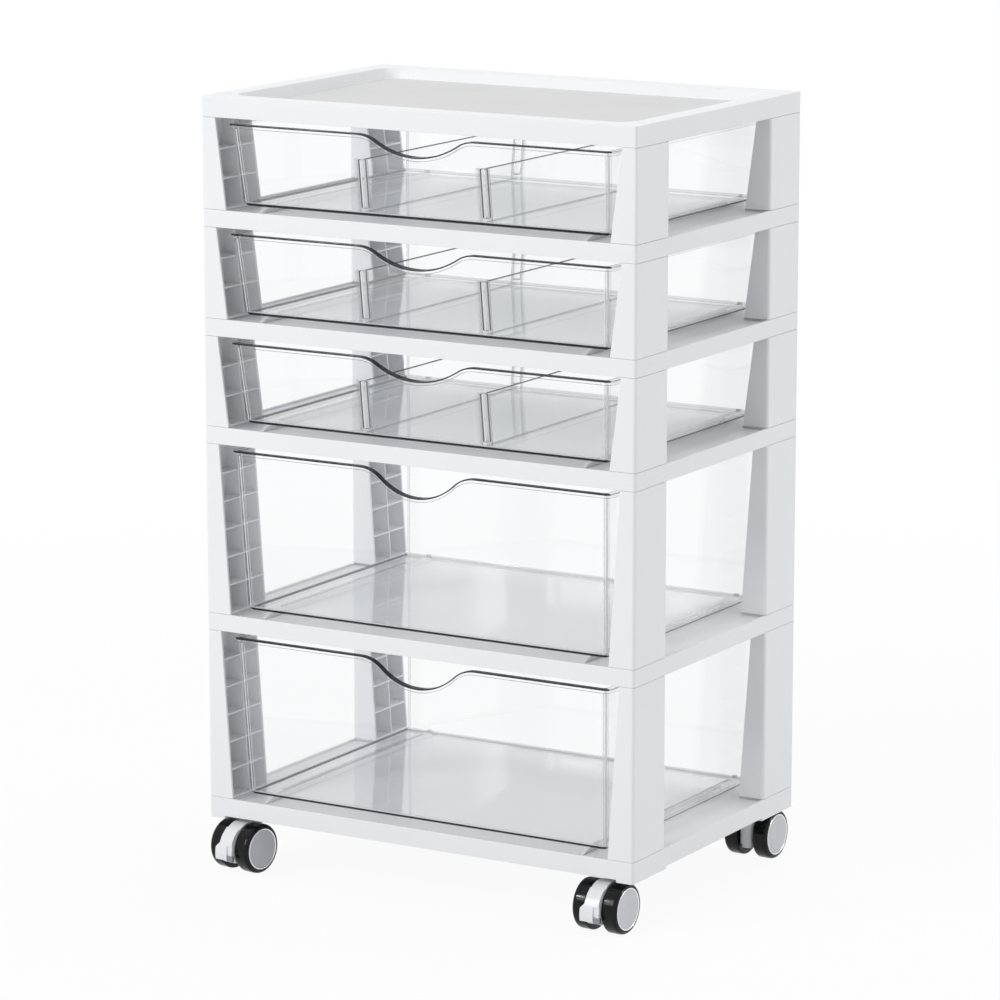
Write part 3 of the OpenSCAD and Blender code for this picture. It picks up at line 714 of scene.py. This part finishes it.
paintedCornerTones = {  # painted dark lines and highlights round each corner, from the front or back face round to the side
    (-1, -1): "clear faint light light faint light grey faint clear",
    (1, -1): "clear pale faint clear light light clear faint clear",
    (1, 1): "clear clear pale clear pale clear faint clear clear",
    (-1, 1): "clear clear pale clear pale clear clear clear clear",
}


def drawerHeight(tier):
    return tiers[tier][1] - drawerSet["rimGap"] - drawerSet["underside"]


def dipAt(x, depth):
    # how far the rim is lowered at x: one arc in the middle, and a rounded shoulder on each side of it
    half, shoulder = drawerSet["dipHalf"], drawerSet["dipShoulder"]
    radii = (half * half + depth * depth) / (2 * depth)
    low = radii - shoulder
    if abs(x) >= half:
        return 0.0
    if abs(x) > half * low / radii:
        return math.sqrt(shoulder**2 - (half - abs(x)) ** 2) - shoulder
    return low - depth - math.sqrt(low * low - x * x)


def planStations():
    # places round the plan, anticlockwise from the left side: corner arcs, and stops along the front
    steps, half = drawerSet["arcSteps"], drawerSet["dipHalf"]
    stations = []
    for sx, sy, start in ((-1, -1, 180), (1, -1, 270), (1, 1, 0), (-1, 1, 90)):
        for step in range(steps + 1):
            stations.append((sx, sy, math.radians(start + 90 * step / steps)))
        if (sx, sy) == (-1, -1):
            stops = drawerSet["dipSteps"]
            stations += [(half * (2 * stop / stops - 1),) for stop in range(stops + 1)]
    return stations


def stationSpot(station, halfWidth, halfDepth, radius):
    # where a station lies on a rounded rectangle
    if len(station) == 1:
        return station[0], -halfDepth
    sx, sy, angle = station
    return (
        sx * (halfWidth - radius) + radius * math.cos(angle),
        sy * (halfDepth - radius) + radius * math.sin(angle),
    )


def wallRings(height):
    # what each ring follows, how far in from it, its level, whether the dip lowers it,
    # and its painted shade or highlight in front, at the sides and behind
    made = drawerSet
    foot, inner, wall, lip, flange = (made[k] for k in ("footRound", "innerRound", "wall", "lip", "flange"))
    rings = []
    # painted dark line along the foot, with a painted highlight under it in front, fainter at the sides and
    # behind
    frontFoot = ["floor", "deep", "dark", "dark", "dark", "dark", "pale"]
    sideFoot = ["floor", "clear", "faint", "dark", "dark", "faint", "clear"]
    rearFoot = ["floor", "clear", "faint", "grey", "faint", "clear", "clear"]
    for step, tone in enumerate(zip(frontFoot, sideFoot, rearFoot)):
        turn = made["footTurn"] * step
        rings.append(("wall", foot * (1 - math.sin(turn)), foot * (1 - math.cos(turn)), 0, *tone))
    rings += [
        ("wall", 0, 3.8 * mm, 0, "clear", "clear", "clear"),
        ("wall", 0, height - lip - 1 * mm, 1, "clear", "clear", "clear"),
        ("hollow", 0, height, 1, "clear", "clear", "clear"),
        ("hollow", flange, height, 1, "clear", "clear", "clear"),
        ("rim", flange, height - lip, 1, "clear", "clear", "clear"),
        # painted dark lines along the rim, strongest in front and faintest behind
        ("rim", 0.3 * mm, height - lip, 1, "grey", "clear", "clear"),
        ("rim", 0, height - lip + 0.3 * mm, 1, "grey", "faint", "clear"),
        ("rim", 0, height - lip + 0.7 * mm, 1, "clear", "clear", "clear"),
        ("rim", 0, height - 1.25 * mm, 1, "clear", "clear", "clear"),
        ("rim", 0, height - 1.0 * mm, 1, "dark", "clear", "clear"),
        ("rim", 0, height - 0.5 * mm, 1, "dark", "faint", "clear"),
        ("rim", 0.15 * mm, height - 0.15 * mm, 1, "dark", "grey", "faint"),
        ("rim", 0.5 * mm, height, 1, "dark", "grey", "faint"),
        ("rim", 0.8 * mm, height, 1, "dark", "clear", "clear"),
        ("wall", wall - 0.5 * mm, height, 1, "dark", "clear", "clear"),
        ("wall", wall - 0.15 * mm, height - 0.15 * mm, 1, "deep", "grey", "faint"),
        ("wall", wall, height - 0.5 * mm, 1, "grey", "faint", "clear"),
        ("wall", wall, height - 1.0 * mm, 1, "clear", "clear", "clear"),
        ("wall", wall, wall + inner + 1 * mm, 0, "clear", "clear", "clear"),
    ]
    # the inner foot round, with a faint painted line on it
    for step in range(5, -1, -1):
        turn = made["innerTurn"] * step
        tone = "floor" if step == 0 else "faint" if step in (2, 3) else "clear"
        spot = (wall + inner * (1 - math.sin(turn)), wall + inner * (1 - math.cos(turn)))
        rings.append(("wall", *spot, 0, tone, tone, tone))
    return rings


def joinLoops(shape, loops):
    # walls from each loop of corners to the next, and a face over both ends
    for low, high in zip(loops, loops[1:]):
        for i in range(len(low)):
            k = (i + 1) % len(low)
            shape.faces.new((low[i], low[k], high[k], high[i]))
    shape.faces.new(reversed(loops[0]))
    shape.faces.new(loops[-1])


def clearTub(height, dip):
    made = drawerSet
    stations, rings = planStations(), wallRings(height)
    shape = bmesh.new()
    paintedEdge = shape.verts.layers.float_color.new("paintedEdgeLight")
    loops = []
    for follows, inset, ringLevel, dips, frontTone, sideTone, rearTone in rings:
        loop = []
        for station in stations:
            inFront = len(station) == 1
            z = ringLevel + (dipAt(station[0], dip) * dips if inFront else 0.0)
            if follows == "hollow":  # the rim is solid in front and behind, and undercut at the sides
                sideways = not inFront and abs(math.cos(station[2])) > made["sideRim"]
                z -= made["flange"] if sideways else made["lip"]
            if follows == "wall" or (follows == "hollow" and inset == 0):
                lean = 1 - z / height
                halfWidth = made["top"][0] - made["lean"][0] * lean - inset
                halfDepth = made["top"][1] - made["lean"][1] * lean - inset
                radius = max(made["corner"] - inset, made["leastCorner"])
            else:
                halfWidth, halfDepth = (half - inset for half in made["rim"])
                radius = made["rimCorner"] - inset
            vert = shape.verts.new((*stationSpot(station, halfWidth, halfDepth, radius), z))
            # each spot takes its ring's painted shade or highlight for front, side or back, or a painted
            # corner line
            shown = frontTone
            if not inFront:
                turned = math.atan2(abs(math.cos(station[2])), abs(math.sin(station[2]))) / (math.pi / 2)
                shown = sideTone if turned > made["sideTone"] else frontTone if station[1] < 0 else rearTone
                if shown == "clear" and follows == "wall":
                    shown = paintedCornerTones[station[:2]].split()[round(turned * made["arcSteps"])]
            vert[paintedEdge] = paintedTones[shown]
            loop.append(vert)
        loops.append(loop)
    joinLoops(shape, loops)
    bmesh.ops.remove_doubles(shape, verts=shape.verts, dist=made["merging"])
    return shape


def addBlock(shape, low, high, lean, ends):
    # a closed block from low to high; lean moves a corner by its height, ends give the painted shade of its
    # -Y and +Y edges
    paintedEdge = shape.verts.layers.float_color["paintedEdgeLight"]
    verts = []
    for z in (low[2], high[2]):
        for x, y in ((low[0], low[1]), (high[0], low[1]), (high[0], high[1]), (low[0], high[1])):
            vert = shape.verts.new((x, y + lean(z), z))
            vert[paintedEdge] = paintedTones[ends[0] if y == low[1] else ends[1]]
            verts.append(vert)
    for face in ((3, 2, 1, 0), (4, 5, 6, 7), (0, 1, 5, 4), (1, 2, 6, 5), (2, 3, 7, 6), (3, 0, 4, 7)):
        shape.faces.new([verts[i] for i in face])


ribSet = {
    "dividerStep": 51.4 * mm,  # middle of the drawer to a divider
    "beside": (-5.0 * mm, 3.6 * mm),
    "thick": 1.4 * mm,
    "out": 3.6 * mm,
    "sunk": 0.6 * mm,  # into the wall or floor that it grows from
    "foot": 1.4 * mm,
    "top": 41.7 * mm,
    "guide": (139.8 * mm, 141.4 * mm),
    "guideHalf": 89 * mm,
    "guideDrop": 1.9 * mm,
}


def outerWallAt(z, height):
    return drawerSet["top"][1] - drawerSet["lean"][1] * (1 - z / height)


def leaningWith(end, height):
    # how far back the inside of the front or rear wall stands at each level
    return lambda z: end * (outerWallAt(z, height) - drawerSet["wall"])


def clearDrawer(tier):
    height = drawerHeight(tier)
    divided = tier in dividedTiers
    shape = clearTub(height, drawerSet["shortDip" if divided else "tallDip"])
    places = [sx * ribSet["dividerStep"] + offset for sx in (-1, 1) for offset in ribSet["beside"]]
    for x in places if divided else []:
        for end in (-1, 1):
            near, far = sorted((end * ribSet["sunk"], -end * ribSet["out"]))
            # a faint painted line along each rib's free edge
            ends = ("clear", "faint") if end < 0 else ("faint", "clear")
            low, high = (x, near, ribSet["foot"]), (x + ribSet["thick"], far, ribSet["top"])
            addBlock(shape, low, high, leaningWith(end, height), ends)
    half = ribSet["guideHalf"]
    for sx in (-1, 1):
        left, right = sorted(sx * edge for edge in ribSet["guide"])
        low, high = (left, -half, -ribSet["guideDrop"]), (right, half, ribSet["sunk"])
        # a faint painted line at both ends of each guide
        addBlock(shape, low, high, lambda z: 0.0, ("faint", "faint"))
    lift = Matrix.Translation((0, 0, tiers[tier][0] + drawerSet["underside"]))
    bmesh.ops.transform(shape, matrix=lift, verts=shape.verts)
    piece = newPiece(f"clearDrawer{tier}", shape, clearWall)
    soften(piece, 0)
    takePlace(piece, f"drawer_{tier}")


for tier in tiers:
    clearDrawer(tier)
print("drawers made")


# Dividers: a thin clear wall between two leaning rods that drop into the drawer's slots
dividerSet = {
    "thick": 1.8 * mm,
    "low": 2.2 * mm,
    "top": 41.5 * mm,
    "rod": 3.2 * mm,
    "rodLow": 5.2 * mm,
    "fromWall": 5.6 * mm,
    "rodSides": 28,
}


def clearDivider(tier, side):
    made = dividerSet
    height = drawerHeight(tier)
    shape = bmesh.new()
    paintedEdge = shape.verts.layers.float_color.new("paintedEdgeLight")

    def rodAt(z):
        return outerWallAt(z, height) - made["fromWall"]

    # the wall, as sections from its foot to its rounded top, with a painted grey line at its foot and
    # painted dark lines at its top
    half = made["thick"] / 2
    levels = [
        (made["low"], half - 0.4 * mm, "grey"),
        (made["low"] + 0.4 * mm, half, "faint"),
        (made["low"] + 1.2 * mm, half, "clear"),
        (made["top"] - 1.1 * mm, half, "clear"),
        (made["top"] - 0.5 * mm, half, "grey"),
        (made["top"] - 0.1 * mm, half - 0.2 * mm, "dark"),
        (made["top"], half - 0.5 * mm, "dark"),
    ]
    loops = []
    for z, wide, tone in levels:
        y = rodAt(z)
        loop = [shape.verts.new((sx * wide, sy * y, z)) for sx, sy in ((-1, -1), (1, -1), (1, 1), (-1, 1))]
        for vert in loop:
            vert[paintedEdge] = paintedTones[tone]
        loops.append(loop)
    joinLoops(shape, loops)

    # the rods, with painted bands in a finish of their own in front and another behind; a painted highlight
    # at each rod's foot and a painted dark line at its top
    for end in (-1, 1):
        rings, facesBefore = [], len(shape.faces)
        for z, radius, tone in (
            (made["rodLow"], made["rod"] - 0.4 * mm, "light"),
            (made["rodLow"] + 0.4 * mm, made["rod"], "faint"),
            (made["rodLow"] + 1.5 * mm, made["rod"], "clear"),
            (made["top"] - 1.2 * mm, made["rod"], "clear"),
            (made["top"] - 0.4 * mm, made["rod"], "faint"),
            (made["top"], made["rod"] - 0.4 * mm, "dark"),
        ):
            ring = []
            for step in range(made["rodSides"]):
                turn = math.tau * step / made["rodSides"]
                spot = (radius * math.cos(turn), end * rodAt(z) + radius * math.sin(turn), z)
                vert = shape.verts.new(spot)
                vert[paintedEdge] = paintedTones[tone]
                ring.append(vert)
            rings.append(ring)
        joinLoops(shape, rings)
        shape.faces.ensure_lookup_table()
        for face in shape.faces[facesBefore:]:
            face.material_index = 1 if end < 0 else 2
    x = ribSet["dividerStep"] * (-1 if side == "left" else 1)
    lift = Matrix.Translation((x, 0, tiers[tier][0] + drawerSet["underside"]))
    bmesh.ops.transform(shape, matrix=lift, verts=shape.verts)
    piece = newPiece(f"clearDivider{tier}_{side}", shape, clearWall, clearRod, clearRodBehind)
    soften(piece, 0)
    takePlace(piece, f"divider_{tier}_{side}")


for tier in dividedTiers:
    for side in ("left", "right"):
        clearDivider(tier, side)
print("dividers made")


# Casters: turned wheels with set-in hub caps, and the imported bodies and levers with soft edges
casterSet = {
    "axis": (157 * mm, 104.5 * mm),
    "trail": 12 * mm,
    "radius": 19 * mm,
    "wheelStart": 6.5 * mm,
    "turns": {"front_left": -7.5, "front_right": -1.5, "rear_left": 186, "rear_right": 179},
    "segments": 72,
    "merging": 0.001 * mm,
    "wheelCrease": 38,  # degrees
    "bodySoftness": 0.3 * mm,
    "leverSoftness": 0.25 * mm,
    "softAngle": 45,  # degrees
    "copyGap": 0.005 * mm,
    "tab": ((2.2 * mm, -34.6 * mm, 11.1 * mm), (7.9 * mm, -32.6 * mm, 15.72 * mm)),  # steel tab's box
    "tabCorners": 12,  # a face with as many corners is the lever's own
}
tyreProfile = [  # radius and distance from the wheel's inner face, in mm, from the axis round to it again
    (0, 10.4), (15.9, 10.4), (15.9, 11.75), (16.15, 12.0), (16.35, 12.0), (16.55, 11.8), (16.75, 11.8),
    (17.15, 11.77), (17.8, 11.4), (18.4, 10.8), (18.75, 10.1), (18.93, 9.3), (19.0, 8.4), (19.0, 2.0),
    (18.93, 1.3), (18.6, 0.6), (18.1, 0.15), (17.4, 0), (14.5, 0), (14.5, 8.4), (5, 8.4), (5, 0),
    (2.05, 0), (2.05, 9.2), (0, 9.2),
]
# the hub cap's rim ring, in the painted highlight finish
ringProfile = [
    (14.5, 10.42), (15.7, 10.42), (15.7, 11.8), (15.62, 12.05), (15.4, 12.18), (15.1, 12.2), (14.8, 12.1),
    (14.6, 11.95), (14.5, 11.7), (14.5, 10.42),
]
capProfile = [
    (0, 10.44), (14.48, 10.44), (14.48, 11.85), (14.35, 12.02), (14.1, 12.1), (8, 12.02), (0, 11.98),
]


def lathe(shape, profile, finish):
    # turns a profile of radius and height in mm about Z; it ends on the axis or where it started
    steps = casterSet["segments"]
    rings = []
    for radius, height in profile:
        if radius == 0:
            rings.append([shape.verts.new((0, 0, height * mm))])
            continue
        ring = []
        for step in range(steps):
            turn = math.tau * step / steps
            across, along = radius * mm * math.cos(turn), radius * mm * math.sin(turn)
            ring.append(shape.verts.new((across, along, height * mm)))
        rings.append(ring)
    for first, second in zip(rings, rings[1:]):
        for i in range(steps):
            k = (i + 1) % steps
            near, far = len(first), len(second)  # 1 on the axis
            loop = [first[i % near], first[k % near], second[k % far], second[i % far]]
            face = shape.faces.new(list(dict.fromkeys(loop)))
            face.material_index = finish


def casterFrame(corner):
    # the foot of a caster's stem, turned as the caster is
    side = 1 if corner.endswith("right") else -1
    end = 1 if corner.startswith("rear") else -1
    stand = Matrix.Translation((side * casterSet["axis"][0], end * casterSet["axis"][1], 0))
    return stand @ Matrix.Rotation(math.radians(casterSet["turns"][corner]), 4, "Z")


def casterWheel(corner, which):
    side = 1 if corner.endswith("right") else -1
    backwards = casterSet["turns"][corner] > 90
    away = side * (-1 if backwards else 1) * (1 if which == "outer" else -1)
    shape = bmesh.new()
    lathe(shape, tyreProfile, 0)
    lathe(shape, capProfile, 1)
    lathe(shape, ringProfile, 2)
    bmesh.ops.remove_doubles(shape, verts=shape.verts, dist=casterSet["merging"])
    bmesh.ops.recalc_face_normals(shape, faces=shape.faces)
    put = (
        casterFrame(corner)
        @ Matrix.Translation((0, -casterSet["trail"], casterSet["radius"]))
        @ Matrix.Rotation(math.radians(90 * away), 4, "Y")
        @ Matrix.Translation((0, 0, casterSet["wheelStart"]))
    )
    bmesh.ops.transform(shape, matrix=put, verts=shape.verts)
    piece = newPiece(f"casterWheel_{corner}_{which}", shape, tyreBlack, capGrey, ringHighlight)
    soften(piece, 0, crease=casterSet["wheelCrease"])
    takePlace(piece, f"{corner}_{which}_wheel")


def softCopy(corner, node, name, softness, hasTab=False):
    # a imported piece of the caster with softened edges; a lever's tab is steel
    shape = looseCopy(node, casterSet["copyGap"])
    unturn = casterFrame(corner).inverted()
    low, high = casterSet["tab"]
    for face in shape.faces if hasTab else []:
        spot = unturn @ face.calc_center_median()
        inside = all(low[k] <= spot[k] <= high[k] for k in range(3))
        face.material_index = 1 if inside and len(face.verts) < casterSet["tabCorners"] else 0
    piece = newPiece(name, shape, casterWhite, steelDull)
    soften(piece, softness, angle=casterSet["softAngle"])
    takePlace(piece, node)


for corner in casterSet["turns"]:
    for which in ("outer", "inner"):
        casterWheel(corner, which)
    softCopy(corner, f"{corner}_caster_housing", f"casterBody_{corner}", casterSet["bodySoftness"])
    if corner.startswith("front"):
        lever, named = f"{corner}_brake_lever", f"brakeLever_{corner}"
        softCopy(corner, lever, named, casterSet["leverSoftness"], hasTab=True)
    for node in (f"{corner}_caster_stem", f"{corner}_axle"):
        for held in nodes[node].material_slots:
            held.material = steelBright
print("casters made")


# Studio: pale floor, white surround and soft lamps
studioSet = {
    "floorRadius": 6.0,
    "floorSides": 96,
    "floorColour": (0.85, 0.85, 0.85, 1),
    "floorGlow": 0.93,  # how much of the floor near the tower shows as plain white
    "glowFade": (0.5, 1.6),
    "surround": 0.55,  # light from all round
    "lamps": {  # place, what it points at, size, power
        "key": ((-1.3, -3.2, 2.1), (0, 0, 0.3), 1.6, 44),
        "back": ((2.39, 1.48, 0.45), (0, 0, 0.3), 0.4, 12),
        "spark": ((-1.6, -2.2, 1.7), (0, 0, 0.1), 0.12, 10),
        "top": ((0.3, 0.6, 2.9), (0, 0, 0.5), 1.6, 19),
    },
    "clearWallsInARow": 40,
}


def seenDirectly(sheet):
    # 1 for rays from the camera, from gloss and through clear plastic
    rays = ("Is Camera Ray", "Is Glossy Ray", "Is Transmission Ray")
    path = sheet.tree.nodes.new("ShaderNodeLightPath")
    camera, gloss, through = (Wire(sheet, path.outputs[ray]) for ray in rays)
    return camera.math("MAXIMUM", camera.math("MAXIMUM", camera, gloss), through)


def makeSurround():
    world = bpy.data.worlds.new("surround")
    world.use_nodes = True
    sheet = Sheet(world.node_tree)
    fill, white = (
        sheet.add("ShaderNodeBackground", {}, {"Color": (1, 1, 1, 1), "Strength": strength})
        for strength in (studioSet["surround"], 1.0)
    )
    shown = sheet.add("ShaderNodeMixShader", {}, {0: seenDirectly(sheet), 1: fill, 2: white})
    sheet.add("ShaderNodeOutputWorld", {}, {"Surface": shown})
    scene.world = world


def makeFloor():
    shape = bmesh.new()
    radius, sides = studioSet["floorRadius"], studioSet["floorSides"]
    bmesh.ops.create_circle(shape, cap_ends=True, radius=radius, segments=sides)
    finish, sheet = newFinish("pale floor")
    place = sheet.add("ShaderNodeTexCoord", output=3)
    reach = sheet.add("ShaderNodeVectorMath", {"operation": "LENGTH"}, {0: place}, 1)
    far = fadeBetween(sheet, reach, *studioSet["glowFade"])
    glow = seenDirectly(sheet) * (studioSet["floorGlow"] + far * (1 - studioSet["floorGlow"]))
    plain = sheet.add("ShaderNodeBsdfDiffuse", {}, {"Color": studioSet["floorColour"]})
    white = sheet.add("ShaderNodeEmission", {}, {"Color": (1, 1, 1, 1), "Strength": 1.0})
    shown = sheet.add("ShaderNodeMixShader", {}, {0: glow, 1: plain, 2: white})
    sheet.add("ShaderNodeOutputMaterial", {}, {"Surface": shown})
    floor = newPiece("floor", shape, finish)


def hangLamp(name, place, target, size, power):
    lamp = bpy.data.lights.new(name, "AREA")
    lamp.shape, lamp.size, lamp.energy = "SQUARE", size, power
    hung = bpy.data.objects.new(name, lamp)
    hung.location = place
    hung.rotation_euler = (Vector(place) - Vector(target)).to_track_quat("Z", "Y").to_euler()
    scene.collection.objects.link(hung)


makeSurround()
makeFloor()
for name, (place, target, size, power) in studioSet["lamps"].items():
    hangLamp(name, place, target, size, power)
scene.view_settings.view_transform = "Standard"
scene.cycles.transparent_max_bounces = studioSet["clearWallsInARow"]
print("studio lit")
